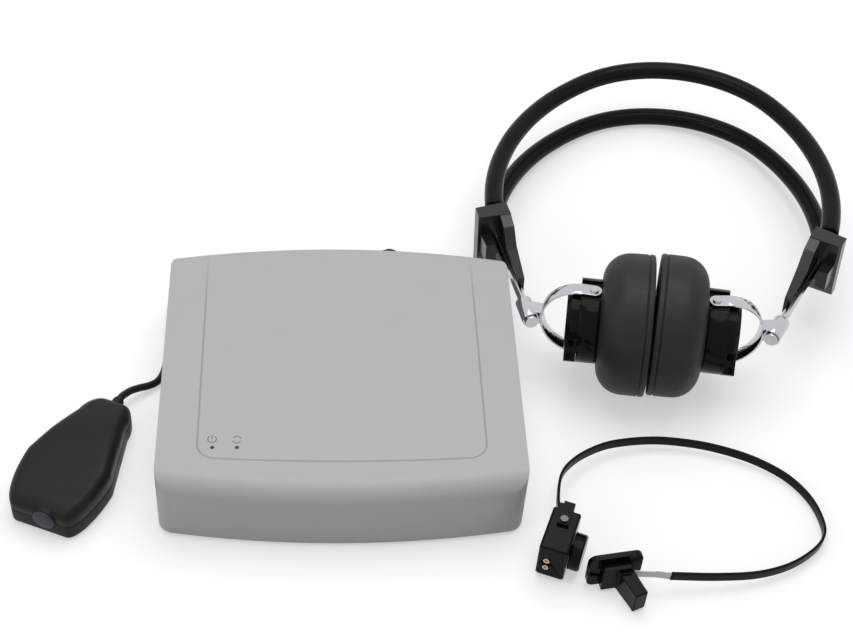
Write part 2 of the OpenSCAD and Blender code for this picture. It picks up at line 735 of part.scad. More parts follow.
module housing(left) color(black) cup_place(left) difference() {
  union() {
    translate([back_x, 0, 0]) along_x() {
      cylinder(r1 = rear_d / 2 - 2, r2 = rear_d / 2, h = 2, $fn = 2 * fine);
      translate([0, 0, 2]) cylinder(d = rear_d, h = collar_x0 - back_x - 2, $fn = 2 * fine);
      translate([0, 0, collar_x0 - back_x])
        cylinder(d = collar_d, h = collar_x1 - collar_x0, $fn = 2 * fine);
    }
    jack_block(left);
  }
  translate([back_x + 2.5, 0, 0]) along_x() cylinder(d = rear_d - 5, h = 30, $fn = 2 * fine);
  translate([collar_x1 - 2, 0, 0]) along_x() cylinder(r = grille_r - 0.8, h = 30, $fn = 2 * fine);
  for (up = [-1, 1]) translate([-3, 0, up * (flat_z + 10)])
    cube([16, 2 * ear_end + 6.6, 20], center = true);
  cylinder(d = pivot_d + 2 * fit, h = 4 * yoke_r, center = true, $fn = 48);
  jack_bores(left);
}

// Frame of the plug socket under an earphone: +Z out of its pin holes
module jack_place(left) translate([jack_x, 0, 0]) mirror([0, left ? 0 : 1, 0]) rotate([45, 0, 0]) children();

module jack_block(left) jack_place(left)
  translate([-jack_w / 2, -20.2, -1]) cube([jack_w, 12, 12.5]);

module jack_bores(left) jack_place(left)
  for (y = [-18.1, -18.1 + jack_pitch]) translate([0, y, 3.5]) cylinder(d = jack_d, h = 20, $fn = 48);

module left_housing() housing(true);
module right_housing() housing(false);

module driver(left) color([0.2, 0.2, 0.21]) cup_place(left) translate([back_x + 2.5, 0, 0]) along_x() {
  cylinder(d = rear_d - 12, h = 6, $fn = fine);
  translate([0, 0, 6]) cylinder(d = rear_d - 5 - 2 * seat, h = 3, $fn = fine);
}

module left_driver() driver(true);
module right_driver() driver(false);

module grille(left) color([0.12, 0.12, 0.12]) cup_place(left)
  translate([collar_x1, 0, 0]) along_x() difference() {
  union() {
    cylinder(r = grille_r, h = grille_x - collar_x1 - soft, $fn = 2 * fine);
    translate([0, 0, -1.8]) cylinder(r = grille_r - 1, h = 2, $fn = 2 * fine);
  }
  translate([0, 0, -5]) cylinder(d = 2.4, h = 20, $fn = 24);
  for (a = [0:60:300]) rotate(a) translate([6, 0, -5]) cylinder(d = 2.4, h = 20, $fn = 24);
}

module left_grille() grille(true);
module right_grille() grille(false);

module cushion(left) color([0.13, 0.13, 0.135]) cup_place(left) translate([cushion_x, 0, 0]) along_x()
  rotate_extrude($fn = 2 * fine) difference() {
    union() {
      square([cushion_d / 2 - cushion_r, cushion_t]);
      translate([0, cushion_r]) square([cushion_d / 2, cushion_t - cushion_r - 2]);
      translate([0, cushion_t - 3]) square([cushion_d / 2 - 2, 3]);
      translate([cushion_d / 2 - 2, cushion_t - 2]) circle(2, $fn = 48);
      intersection() {
        translate([cushion_d / 2 - cushion_r, cushion_r]) circle(cushion_r, $fn = 2 * fine);
        square([cushion_d / 2, cushion_r]);
      }
    }
    square([recess_r, grille_x - cushion_x]);
    polygon([[-1, 0], [9, 0], [9, 10], [23, cushion_t], [23, cushion_t + 1], [-1, cushion_t + 1]]);
  }

module left_cushion() cushion(true);
module right_cushion() cushion(false);

// ---- bone-conduction set ----

// Middle of the spring strip, from the vibrator round the loop to the pad
loop_route = [[96.2, -67.9, 9.5], [95.7, -60, 9], [96.6, -52, 8.6], [98.6, -43.6, 8.3], [103, -36.6, 8],
  [111.6, -29.4, 7.5], [124.4, -23.4, 6.9], [143.6, -20.4, 6], [161.6, -21.6, 5.2], [177, -25.2, 4.5],
  [191.6, -31.4, 3.9], [204.4, -41, 3.4], [212.4, -53.4, 3.1], [215.1, -66.6, 3.1], [213.2, -75, 3.2],
  [206, -82.8, 3.6], [194, -90.2, 4.3], [179.1, -94.8, 5.2], [160.8, -96.8, 6.8], [140.8, -97.2, 8.3]];
loop_steps = 3;

function spline(a, b, c, d, t) = 0.5 * (2 * b + (c - a) * t + (2 * a - 5 * b + 4 * c - d) * t ^ 2
  + (3 * b - a - 3 * c + d) * t ^ 3);
function smooth(p, n) = let (last = len(p) - 1)
  [for (i = [0:last - 1], k = [0:n - 1])
    spline(p[max(i - 1, 0)], p[i], p[i + 1], p[min(i + 2, last)], k / n), p[last]];

// A strip on edge along the points p, of thickness t and height h
module strip(p, t, h) {
  n = len(p);
  side = [for (i = [0:n - 1]) unit3(cross([0, 0, 1], tangent(p, i))) * t / 2];
  lift = [0, 0, h / 2];
  points = [for (i = [0:n - 1])
    each [p[i] - side[i] - lift, p[i] + side[i] - lift, p[i] + side[i] + lift, p[i] - side[i] + lift]];
  walls = [for (i = [0:n - 2], k = [0:3]) let (a = 4 * i + k, b = 4 * i + (k + 1) % 4)
    each [[a, a + 4, b], [b, a + 4, b + 4]]];
  last = 4 * (n - 1);
  caps = [[0, 1, 2], [0, 2, 3], [last, last + 2, last + 1], [last, last + 3, last + 2]];
  polyhedron(points, concat(walls, caps), convexity = 10);
}

loop_path = smooth(loop_route, loop_steps);
sleeve_t = strip_t + 2 * sleeve_wall;
sleeve_h = strip_h + 2 * sleeve_wall;

module bone_sleeve() color(black) strip(loop_path, sleeve_t, sleeve_h);

strip_start = [134, -96.95, 9.4];
strip_end = [112, -96, 9.4];
strip_way = unit3(strip_start - strip_end);
strip_route = [loop_route[len(loop_route) - 1], [137.2, -97.1, 8.9], strip_start, strip_end];
module bone_strip() color(chrome) strip(strip_route, strip_t, strip_h);

vib_at = [93.2, -82.1, 11.6];
vib_turn = [0, 0, -21.6];
module vib_place() translate(vib_at) rotate(vib_turn) children();

fork_y = vib_l / 2 - 7;
fork_w = 5;
fork_t = 1.2;
fork_z = vib_h / 2 + soft;
fork_back = vib_l / 2 + 2.9;

module bone_fork() color(black) difference() {
  vib_place() {
    for (up = [-1, 1]) translate([-fork_w / 2, fork_y - fork_w / 2, up * (fork_z + fork_t / 2) - fork_t / 2])
      cube([fork_w, fork_back - fork_y + fork_w / 2, fork_t]);
    translate([-fork_w / 2, fork_back - fork_t, -fork_z - fork_t])
      cube([fork_w, fork_t, 2 * fork_z + 2 * fork_t]);
    translate([-4.8, fork_back - 0.1, -5.2]) cube([5, 5, 8.4]);
  }
  vib_place() translate([0, fork_y, 0]) cylinder(d = 2.1, h = 3 * vib_h, center = true, $fn = 32);
  strip([for (i = [0:5]) loop_path[i]], sleeve_t + 2 * fit, sleeve_h + 2 * fit);
}

module fork_screws() color(chrome) vib_place()
  for (up = [0, 1]) mirror([0, 0, up]) translate([0, fork_y, 0]) {
  translate([0, 0, vib_h / 2 + soft + fork_t]) cylinder(d = 3.4, h = 0.8, $fn = 32);
  translate([0, 0, vib_h / 2 - vib_wall]) cylinder(d = 2, h = vib_wall + soft + fork_t, $fn = 32);
}

module vibrator_case() color(black) vib_place() difference() {
  cube([vib_t, vib_l, vib_h], center = true);
  translate([-vib_wall - vib_t / 2, vib_wall - vib_l / 2, vib_wall - vib_h / 2])
    cube([vib_t, vib_l - 2 * vib_wall, vib_h - 2 * vib_wall]);
  translate([0, fork_y, 0]) cylinder(d = 2.1, h = 2 * vib_h, center = true, $fn = 32);
  translate([0, disc_y, 0]) rotate([0, 90, 0]) cylinder(d = 5, h = vib_t, $fn = 48);
  for (z = pin_z) translate([pin_x, -vib_l / 2 - 1, z]) rotate([-90, 0, 0])
    cylinder(d = 2.8, h = 4, $fn = 32);
}

disc_y = -1.5;
pin_x = -2.2;
pin_z = [-3.6, 1];

module vibrator_lid() color(black) vib_place()
  translate([-vib_t / 2, vib_wall + seat - vib_l / 2, vib_wall + seat - vib_h / 2])
  cube([vib_wall, vib_l - 2 * vib_wall - 2 * seat, vib_h - 2 * vib_wall - 2 * seat]);

module vibrator_core() color(chrome) vib_place()
  translate([vib_wall - vib_t / 2, 4.5 - vib_l / 2, -5])
  cube([vib_t - 2 * vib_wall - 2 * seat, vib_l - 6.5, 10]);

module contact_disc() color(black) vib_place() translate([vib_t / 2, disc_y, 0]) rotate([0, 90, 0]) {
  translate([0, 0, soft]) cylinder(d = disc_d, h = disc_l - soft - 0.8, $fn = 2 * fine);
  translate([0, 0, disc_l - 0.8]) cylinder(d1 = disc_d, d2 = disc_d - 1.4, h = 0.8, $fn = 2 * fine);
  translate([0, 0, -vib_wall - 0.4]) cylinder(d = 4.6, h = vib_wall + 1, $fn = 48);
}

module pin_sleeves() color([0.8, 0.6, 0.3]) vib_place()
  for (z = pin_z) translate([pin_x, -vib_l / 2, z]) rotate([-90, 0, 0]) difference() {
    translate([0, 0, -0.3]) cylinder(d = 2.7, h = 3.3, $fn = 48);
    translate([0, 0, -1]) cylinder(d = 1.6, h = 3.6, $fn = 48);
  }

pad_at = [116.9, -96.4, 0];
pad_turn = 9;
slider_turn = 24;
module pad_place(turn) translate(pad_at) rotate([0, 0, turn]) children();

slot_fit = 0.12;
slot_run = [strip_start + 6 * strip_way, strip_end - 12 * strip_way];
groove_fit = 0.4;

module pad_slider() color(black) difference() {
  union() {
    pad_place(pad_turn) translate([-6.5, -2.2, 1]) cube([13, 4, 14]);
    pad_place(slider_turn) translate([0.6, -2, 0.6]) stem();
  }
  strip(slot_run, strip_t + 2 * slot_fit, strip_h + 2 * slot_fit);
}

module stem() rotate([90, 0, 0]) linear_extrude(stem_l) translate([-0.4, 0]) square([6.2, 11.5]);

module temple_pad() color(black) difference() {
  pad_place(pad_turn) translate([0, 1.8, 0.4 + pad_h / 2]) rotate([-90, 0, 0])
    linear_extrude(pad_t) rounded_rect(pad_w, pad_h, 3.5);
  strip(slot_run, strip_t + 2 * groove_fit, strip_h + 2 * groove_fit);
}

top_cover();
base_plate();
rear_panel();
rubber_feet();
cover_screws();
circuit_board();
board_chips();
light_pipes();
jack_sockets();
usb_socket();
handpiece_top();
handpiece_base();
response_button();
button_spring();
response_switch();
cord_grommet();
handpiece_screws();
response_cord();
cord_hank();
cord_tail();
cord_tie();
response_plug();
upper_sleeve();
lower_sleeve();
spring_rods();
left_bracket();
right_bracket();
left_rod();
right_rod();
left_block();
right_block();
left_yoke();
right_yoke();
left_pivots();
right_pivots();
left_housing();
right_housing();
left_driver();
right_driver();
left_grille();
right_grille();
left_cushion();
right_cushion();
bone_sleeve();
bone_strip();
bone_fork();
fork_screws();
vibrator_case();
vibrator_lid();
vibrator_core();
contact_disc();
pin_sleeves();
pad_slider();
temple_pad();
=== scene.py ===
import bpy
import numpy as np
from mathutils import Matrix


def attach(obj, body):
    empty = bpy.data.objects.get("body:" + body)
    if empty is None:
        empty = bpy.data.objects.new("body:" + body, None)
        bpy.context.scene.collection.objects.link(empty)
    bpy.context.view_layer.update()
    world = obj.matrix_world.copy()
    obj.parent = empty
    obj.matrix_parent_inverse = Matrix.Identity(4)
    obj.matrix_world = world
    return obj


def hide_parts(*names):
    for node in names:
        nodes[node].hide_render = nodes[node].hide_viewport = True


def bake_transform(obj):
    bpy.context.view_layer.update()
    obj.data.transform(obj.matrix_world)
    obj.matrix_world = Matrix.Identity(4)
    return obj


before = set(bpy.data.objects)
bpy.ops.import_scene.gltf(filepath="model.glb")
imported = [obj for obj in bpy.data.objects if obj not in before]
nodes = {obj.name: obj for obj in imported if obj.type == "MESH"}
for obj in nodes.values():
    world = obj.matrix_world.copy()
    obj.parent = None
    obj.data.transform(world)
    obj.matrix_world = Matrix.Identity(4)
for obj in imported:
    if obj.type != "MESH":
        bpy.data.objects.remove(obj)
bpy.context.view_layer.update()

mm = 0.001

# ---- camera ----

cameraSet = {
    "place": (-0.0158955, -0.5000209, 0.5946298),
    "right": (0.99738, -0.04595, 0.05583),
    "up": (-0.00489, 0.7275, 0.68609),
    "lens": 69.968,
    "sensor": 36.0,
    "near": 0.01,
}


def frameMatrix(side, back, place):
    # World matrix of a camera or lamp: its own x runs along side, and it looks the other way from back
    turn = np.eye(4)
    turn[:3, 0], turn[:3, 1], turn[:3, 2], turn[:3, 3] = side, np.cross(back, side), back, place
    return Matrix(turn.tolist())


def makeCamera(look):
    data = bpy.data.cameras.new("deskCamera")
    data.lens = look["lens"]
    data.sensor_width = look["sensor"]
    data.clip_start = look["near"]
    right = np.array(look["right"])
    right /= np.linalg.norm(right)
    back = np.cross(right, look["up"])
    back /= np.linalg.norm(back)
    camera = bpy.data.objects.new("deskCamera", data)
    bpy.context.scene.collection.objects.link(camera)
    camera.matrix_world = frameMatrix(right, back, look["place"])
    bpy.context.scene.camera = camera


makeCamera(cameraSet)

# ---- making meshes ----

# Share of an edge that one rounded corner may take
edgeShare = 0.48
# Radius of the small cap in the middle of a revolved face, in mm
tip = 0.05


def gridMesh(name, points, material, body, loop=False, smooth=True):
    # A skin over a grid of points in mm: each row closes on itself, rows follow each other. The first
    # and last rows are capped unless the rows loop. Faces are turned outwards by the volume's sign.
    points = np.asarray(points, dtype=float)
    rows, cols = points.shape[:2]
    ids = np.arange(rows * cols).reshape(rows, cols)
    lower = ids if loop else ids[:-1]
    upper = np.roll(ids, -1, axis=0) if loop else ids[1:]
    quads = np.stack([lower, np.roll(lower, -1, 1), np.roll(upper, -1, 1), upper], -1).reshape(-1, 4)
    flat = points.reshape(-1, 3)
    a, b, c, d = (flat[quads[:, k]] - flat.mean(0) for k in range(4))
    volume = (a * np.cross(b, c)).sum() + (a * np.cross(c, d)).sum()
    faces = quads.tolist() if loop else quads.tolist() + [ids[0][::-1].tolist(), ids[-1].tolist()]
    if volume < 0:
        faces = [f[::-1] for f in faces]
    mesh = bpy.data.meshes.new(name)
    mesh.from_pydata((flat * mm).tolist(), [], faces)
    mesh.polygons.foreach_set("use_smooth", np.full(len(mesh.polygons), smooth))
    mesh.update()
    mesh.materials.append(material)
    piece = bpy.data.objects.new(name, mesh)
    bpy.context.scene.collection.objects.link(piece)
    if body:
        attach(piece, body)
    return piece


def roundedProfile(corners, radii, steps=6):
    # Each corner of a closed outline becomes a quadratic curve that leaves its two edges a radius away
    p = np.asarray(corners, float)
    before, after = np.roll(p, 1, 0) - p, np.roll(p, -1, 0) - p
    lb, la = np.linalg.norm(before, axis=1), np.linalg.norm(after, axis=1)
    cut = np.minimum(np.asarray(radii, float), edgeShare * np.minimum(lb, la))
    start = p + before * (cut / lb)[:, None]
    end = p + after * (cut / la)[:, None]
    t = np.linspace(0, 1, steps)[None, :, None]
    curve = (1 - t) ** 2 * start[:, None] + 2 * t * (1 - t) * p[:, None] + t ** 2 * end[:, None]
    return curve.reshape(-1, 2)


def revolved(profile, place, turn, sides):
    # Profile points (radius, height) turned about +Z of a frame: x = r cos a, y = r sin a, z = height
    a = np.linspace(0, 2 * np.pi, sides, endpoint=False)[None, :]
    r, h = profile[:, 0][:, None], profile[:, 1][:, None]
    local = np.stack([r * np.cos(a), r * np.sin(a), h + 0 * a], -1)
    return local @ np.asarray(turn).T + np.asarray(place)


def splined(points, n):
    # Catmull-Rom curve through the points, n samples for each span
    p = np.asarray(points, float)
    ext = np.vstack([2 * p[0] - p[1], p, 2 * p[-1] - p[-2]])
    a, b, c, d = (ext[k:len(p) - 1 + k][:, None] for k in range(4))
    t = (np.arange(n) / n)[None, :, None]
    q = 0.5 * (2 * b + (c - a) * t + (2 * a - 5 * b + 4 * c - d) * t ** 2 + (3 * b - a - 3 * c + d) * t ** 3)
    return np.vstack([q.reshape(-1, 3), p[-1:]])


def axesAlong(path):
    # Tangent, a level side vector and the third axis at each point of a path
    t = np.gradient(path, axis=0)
    t /= np.linalg.norm(t, axis=1)[:, None]
    side = np.cross([0.0, 0.0, 1.0], t)
    side /= np.linalg.norm(side, axis=1)[:, None]
    return t, side, np.cross(t, side)


def swept(path, section):
    # The section's (side, up) points carried along the path
    t, side, up = axesAlong(path)
    return path[:, None] + section[None, :, 0, None] * side[:, None] + section[None, :, 1, None] * up[:, None]


def circleSection(r, sides):
    a = np.linspace(0, 2 * np.pi, sides, endpoint=False)
    return np.stack([r * np.cos(a), r * np.sin(a)], -1)


def turned(x=0.0, y=0.0, z=0.0):
    # Turns in degrees about z, then the turned x, then the turned y, nested as in the part's source
    ax, ay, az = np.radians([x, y, z])
    rx = np.array([[1, 0, 0], [0, np.cos(ax), -np.sin(ax)], [0, np.sin(ax), np.cos(ax)]])
    ry = np.array([[np.cos(ay), 0, np.sin(ay)], [0, 1, 0], [-np.sin(ay), 0, np.cos(ay)]])
    rz = np.array([[np.cos(az), -np.sin(az), 0], [np.sin(az), np.cos(az), 0], [0, 0, 1]])
    return rz @ rx @ ry


# ---- materials ----


def link(tree, a, b):
    tree.links.new(a, b)


def mathNode(tree, operation, a, b=None):
    node = tree.nodes.new("ShaderNodeMath")
    node.operation = operation
    for socket, value in zip(node.inputs, (a, b)):
        if value is None:
            continue
        if hasattr(value, "links"):
            link(tree, value, socket)
        else:
            socket.default_value = value
    return node.outputs[0]


def noiseNode(tree, coords, scale, detail, stretch):
    if stretch:
        mapping = tree.nodes.new("ShaderNodeMapping")
        mapping.inputs["Scale"].default_value = stretch
        link(tree, coords, mapping.inputs["Vector"])
        coords = mapping.outputs[0]
    node = tree.nodes.new("ShaderNodeTexNoise")
    node.inputs["Scale"].default_value = scale
    node.inputs["Detail"].default_value = detail
    link(tree, coords, node.inputs["Vector"])
    return node.outputs["Fac"]


def ranged(tree, value, low, high, fromLow=0.3, fromHigh=0.7):
    # Noise mostly lies from 0.3 to 0.7, which becomes low to high
    node = tree.nodes.new("ShaderNodeMapRange")
    node.inputs["From Min"].default_value = fromLow
    node.inputs["From Max"].default_value = fromHigh
    node.inputs["To Min"].default_value = low
    node.inputs["To Max"].default_value = high
    link(tree, value, node.inputs["Value"])
    return node.outputs[0]


def mixColour(tree, factor, first, second):
    # Inputs 6 and 7 and output 2 are the colour sockets of a Mix node
    node = tree.nodes.new("ShaderNodeMix")
    node.data_type = "RGBA"
    link(tree, factor, node.inputs["Factor"])
    for socket, value in ((node.inputs[6], first), (node.inputs[7], second)):
        if hasattr(value, "links"):
            link(tree, value, socket)
        else:
            socket.default_value = (*value, 1.0)
    return node.outputs[2]


# What a finish has unless it says otherwise; lengths in metres, noise scales per metre
plainFinish = {
    "metal": 0.0, "ior": 1.48, "shine": 0.5, "coat": 0.0, "coatRough": 0.06, "stretch": None,
    "dark": 0.9, "cloud": 60.0, "cloudDetail": 4.0, "smudge": 140.0, "smudgeDetail": 5.0,
    "grain": 2200.0, "grainDetail": 2.0, "bump": 0.15, "depth": 0.00008,
}


def makeFinish(name, own):
    # Cloudy colour and roughness, with a fine grain as bump, all on Object coordinates
    look = {**plainFinish, **own}
    material = bpy.data.materials.new(name)
    material.use_nodes = True
    tree = material.node_tree
    shader = tree.nodes["Principled BSDF"]
    coords = tree.nodes.new("ShaderNodeTexCoord").outputs["Object"]
    shader.inputs["Metallic"].default_value = look["metal"]
    shader.inputs["IOR"].default_value = look["ior"]
    shader.inputs["Specular IOR Level"].default_value = look["shine"]
    shader.inputs["Coat Weight"].default_value = look["coat"]
    shader.inputs["Coat Roughness"].default_value = look["coatRough"]
    cloud = noiseNode(tree, coords, look["cloud"], look["cloudDetail"], look["stretch"])
    tone = np.array(look["tone"])
    colour = mixColour(tree, ranged(tree, cloud, 0.0, 1.0), tuple(tone * look["dark"]), tuple(tone))
    link(tree, colour, shader.inputs["Base Color"])
    low, high = look["rough"]
    smudge = noiseNode(tree, coords, look["smudge"], look["smudgeDetail"], look["stretch"])
    link(tree, ranged(tree, smudge, low, high), shader.inputs["Roughness"])
    grain = noiseNode(tree, coords, look["grain"], look["grainDetail"], look["stretch"])
    bump = tree.nodes.new("ShaderNodeBump")
    bump.inputs["Strength"].default_value = look["bump"]
    bump.inputs["Distance"].default_value = look["depth"]
    link(tree, grain, bump.inputs["Height"])
    link(tree, bump.outputs[0], shader.inputs["Normal"])
    return material


finishes = {
    "coverGrey": {"tone": (0.455, 0.465, 0.465), "dark": 0.975, "rough": (0.42, 0.5), "grain": 3200.0,
                  "bump": 0.12},
    "plateGrey": {"tone": (0.2, 0.205, 0.21), "rough": (0.5, 0.62), "bump": 0.3},
    "panelGrey": {"tone": (0.075, 0.08, 0.085), "rough": (0.5, 0.62), "bump": 0.25},
    "footRubber": {"tone": (0.02, 0.02, 0.021), "rough": (0.7, 0.85), "bump": 0.4},
    "screwSteel": {"tone": (0.56, 0.57, 0.58), "metal": 1.0, "rough": (0.25, 0.4), "stretch": (1, 1, 12)},
    "darkSteel": {"tone": (0.1, 0.1, 0.105), "metal": 1.0, "rough": (0.2, 0.32)},
    "boardGreen": {"tone": (0.02, 0.11, 0.045), "rough": (0.3, 0.4), "dark": 0.8},
    "chipBlack": {"tone": (0.02, 0.02, 0.022), "rough": (0.35, 0.5)},
    "pipeDark": {"tone": (0.012, 0.012, 0.013), "rough": (0.1, 0.16)},
    "softBlack": {"tone": (0.0105, 0.011, 0.0115), "dark": 0.85, "rough": (0.4, 0.5), "shine": 0.17,
                  "grain": 3000.0, "bump": 0.22},
    "buttonGrey": {"tone": (0.04, 0.052, 0.064), "dark": 0.88, "rough": (0.42, 0.55), "shine": 0.25,
                   "bump": 0.25},
    "cordBlack": {"tone": (0.009, 0.009, 0.01), "rough": (0.4, 0.52), "shine": 0.2, "grain": 1800.0,
                  "bump": 0.2},
    "strapBlack": {"tone": (0.015, 0.015, 0.016), "rough": (0.6, 0.75), "bump": 0.5},
    "bandBlack": {"tone": (0.005, 0.005, 0.0055), "rough": (0.22, 0.34), "shine": 0.08, "coat": 0.02,
                  "smudge": 60.0},
    "caseBlack": {"tone": (0.004, 0.004, 0.0045), "rough": (0.12, 0.22), "shine": 0.07, "coat": 0.03,
                  "smudge": 90.0, "bump": 0.06},
    "bracketBlack": {"tone": (0.01, 0.01, 0.011), "rough": (0.22, 0.34), "shine": 0.3, "coat": 0.2,
                     "bump": 0.12},
    "grilleBlack": {"tone": (0.02, 0.02, 0.021), "rough": (0.6, 0.8), "grain": 900.0, "bump": 0.8},
    "cushionBlack": {"tone": (0.0165, 0.0165, 0.0175), "dark": 0.85, "rough": (0.44, 0.56), "shine": 0.25,
                     "grain": 1500.0, "bump": 0.3},
    "chrome": {"tone": (0.55, 0.56, 0.58), "metal": 1.0, "dark": 0.92, "rough": (0.06, 0.14), "bump": 0.03},
    "springSteel": {"tone": (0.36, 0.365, 0.37), "metal": 1.0, "rough": (0.22, 0.36), "stretch": (1, 8, 20)},
    "pinBrass": {"tone": (0.62, 0.52, 0.38), "metal": 1.0, "rough": (0.18, 0.3)},
    "markGrey": {"tone": (0.16, 0.165, 0.168), "rough": (0.5, 0.6)},
}
finish = {name: makeFinish(name, look) for name, look in finishes.items()}

# In metres, as Object coordinates are; the line is full below "sharp" and gone past "soft" times its width;
# "shade" darkens the cover's colour along the line as painted shade
panelLine = {
    "halfWidth": 0.0625, "front": 0.0571, "corner": 0.0075, "bow": 0.58, "line": 0.00028, "sharp": 0.4,
    "soft": 1.6, "depth": 0.0006, "strength": 0.6, "shade": 0.8, "topZ": 0.0362, "fadeFrom": 0.035,
    "fadeTo": 0.072,
}


def addPanelLineWithPaintedShade(material, look):
    # Rounded-corner line on the cover: distance d of a point to a rectangle with bowed front,
    # d = |max(q, 0)| + min(max(qx, qy), 0) - r. The line is where |d| is small, on the top only,
    # and it fades out towards the rear. Along the line the colour is darkened as painted shade of the shallow
    # groove, and a bump dents it.
    tree = material.node_tree
    shader = tree.nodes["Principled BSDF"]
    coords = tree.nodes.new("ShaderNodeTexCoord").outputs["Object"]
    split = tree.nodes.new("ShaderNodeSeparateXYZ")
    link(tree, coords, split.inputs[0])
    x, y, z = split.outputs
    r = look["corner"]
    sag = mathNode(tree, "MULTIPLY", mathNode(tree, "MULTIPLY", x, x), look["bow"])
    bowed = mathNode(tree, "SUBTRACT", y, sag)
    qx = mathNode(tree, "SUBTRACT", mathNode(tree, "ABSOLUTE", x), look["halfWidth"] - r)
    qy = mathNode(tree, "SUBTRACT", mathNode(tree, "MULTIPLY", bowed, -1.0), look["front"] - r)
    px, py = mathNode(tree, "MAXIMUM", qx, 0.0), mathNode(tree, "MAXIMUM", qy, 0.0)
    outer = mathNode(tree, "SQRT", mathNode(tree, "ADD", mathNode(tree, "MULTIPLY", px, px),
                                            mathNode(tree, "MULTIPLY", py, py)))
    inner = mathNode(tree, "MINIMUM", mathNode(tree, "MAXIMUM", qx, qy), 0.0)
    away = mathNode(tree, "ABSOLUTE", mathNode(tree, "SUBTRACT", mathNode(tree, "ADD", outer, inner), r))
    line = ranged(tree, away, 1.0, 0.0, look["line"] * look["sharp"], look["line"] * look["soft"])
    top = mathNode(tree, "GREATER_THAN", z, look["topZ"])
    fade = ranged(tree, y, 1.0, 0.0, look["fadeFrom"], look["fadeTo"])
    line = mathNode(tree, "MULTIPLY", mathNode(tree, "MULTIPLY", line, top), fade)
    # Painted shade: along the line the cover's colour is multiplied by "shade", standing in for the shade in
    # the groove
    old = shader.inputs["Base Color"].links[0].from_socket
    tone = np.array(finishes["coverGrey"]["tone"]) * look["shade"]
    link(tree, mixColour(tree, line, old, tuple(tone)), shader.inputs["Base Color"])
    bump = tree.nodes.new("ShaderNodeBump")
    bump.inputs["Distance"].default_value = look["depth"]
    bump.inputs["Strength"].default_value = look["strength"]
    bump.invert = True
    link(tree, line, bump.inputs["Height"])
    link(tree, shader.inputs["Normal"].links[0].from_socket, bump.inputs["Normal"])
    link(tree, bump.outputs[0], shader.inputs["Normal"])


addPanelLineWithPaintedShade(finish["coverGrey"], panelLine)
print("materials ready:", len(finish))

# ---- cord of the handpiece ----

cordSet = {
    "width": 3.5, "sides": 14, "spanSteps": 6,
    "start": [[-101.9, 2.14, 7.5], [-101, 4.3, 7.4], [-99.6, 6.5, 6.9], [-97, 9.4, 6.1], [-93.4, 12.2, 4.8],
              [-89.4, 14.7, 3.5], [-85.9, 18, 2.5], [-83.6, 23, 1.9], [-82.4, 30, 1.8], [-82.2, 40, 1.8],
              [-82.2, 49, 1.8], [-82.2, 58, 1.8], [-82, 66, 1.8], [-80, 73.5, 1.8], [-75.5, 80, 1.8],
              [-68.5, 85, 1.8], [-60, 88.5, 2], [-51, 91, 2.4], [-42, 92.1, 2.8], [-33, 91.9, 2.8],
              [-24, 91.4, 2.8], [-15, 90.3, 2.8], [-9, 89.3, 2.8]],
    "tail": [[6, 89.6, 14.65], [12, 90.6, 14.7], [18, 91, 15], [22, 91.1, 16.3], [25.6, 90.1, 18.3],
             [28.6, 86.8, 19.2], [30.8, 82.6, 20.1], [31.8, 77.8, 20.8], [32, 73.5, 21], [32, 70, 21]],
    "middle": (-2.0, 75.0), "turns": 6, "layers": 4, "run": 68.0, "inner": 9.6, "step": 4.9, "waist": 0.84,
    "waistReach": 17.0, "base": 2.8, "rise": 3.95, "climb": 0.3, "samples": 40,
}


def hankLine(look):
    # Racetrack loops whose half width runs in, out, in, out; a layer is climbed where it turns back.
    # The waist narrows the loops where the tie holds them, and a climb takes that share of a turn.
    t = np.arange(look["turns"] * look["samples"] + 1) / look["samples"]
    layer = look["turns"] / look["layers"]
    u = t / layer
    k = np.floor(u)
    f = u - k
    h = look["inner"] + look["step"] * layer * np.where(k % 2 == 0, 1 - f, f)
    half = look["run"] / 2
    arc = np.pi * h
    whole = 2 * (look["run"] + arc)
    s = (t - np.floor(t)) * whole
    a1 = np.pi * (s - half) / arc
    a2 = np.pi * (s - 3 * half - arc) / arc
    where = [s < half, s < half + arc, s < 3 * half + arc, s < 3 * half + 2 * arc]
    x = np.select(where, [s, half + h * np.sin(a1), 2 * half + arc - s, -half - h * np.sin(a2)], s - whole)
    y = np.select(where, [h, h * np.cos(a1), -h, -h * np.cos(a2)], h)
    y = y * (1 - (1 - look["waist"]) * np.exp(-(x / look["waistReach"]) ** 2))
    steps = np.arange(1, look["layers"])[:, None] * layer
    z = look["base"] + look["rise"] * np.clip((t[None] - steps) / look["climb"] + 0.5, 0, 1).sum(0)
    return np.stack([look["middle"][0] + x, look["middle"][1] + y, z], -1)


def makeCord(look):
    # One piece from the handpiece to the plug; a step of one width leads into the loops and out of them
    loops = hankLine(look)
    lead = [[look["width"], 0, 0]]
    start = splined(np.vstack([look["start"], loops[:1] - lead, loops[:1]]), look["spanSteps"])
    tail = splined(np.vstack([loops[-1:], loops[-1:] + lead, look["tail"]]), look["spanSteps"])
    path = np.vstack([start[:-1], loops, tail[1:]])
    cord = gridMesh("handpieceCord", swept(path, circleSection(look["width"] / 2, look["sides"])),
                    finish["cordBlack"], "unit")
    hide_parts("response_cord", "cord_hank", "cord_tail")


makeCord(cordSet)

# ---- handpiece ----

handSet = {
    "place": (-116.7, -33.4, 0.0), "turn": -22.6, "length": 71.0, "width": 40.6, "height": 19.4, "split": 9.0,
    "tailWidth": 24.4, "tailDrop": 6.5, "tailBend": 1.3, "noseDrop": 2.2, "noseBend": 2, "middle": 4.4,
    "corner": (8.4, 27.8), "tailCorner": (8.4, 13.0), "round": 5.0, "footRound": 2.5,
    "tailSteps": 11, "noseSteps": 17, "flankSteps": 8, "endSteps": 7, "endReach": 0.75,
    "footSteps": 7, "roundSteps": 13, "crownShares": (0.8, 0.6, 0.4, 0.2, 0.02),
}
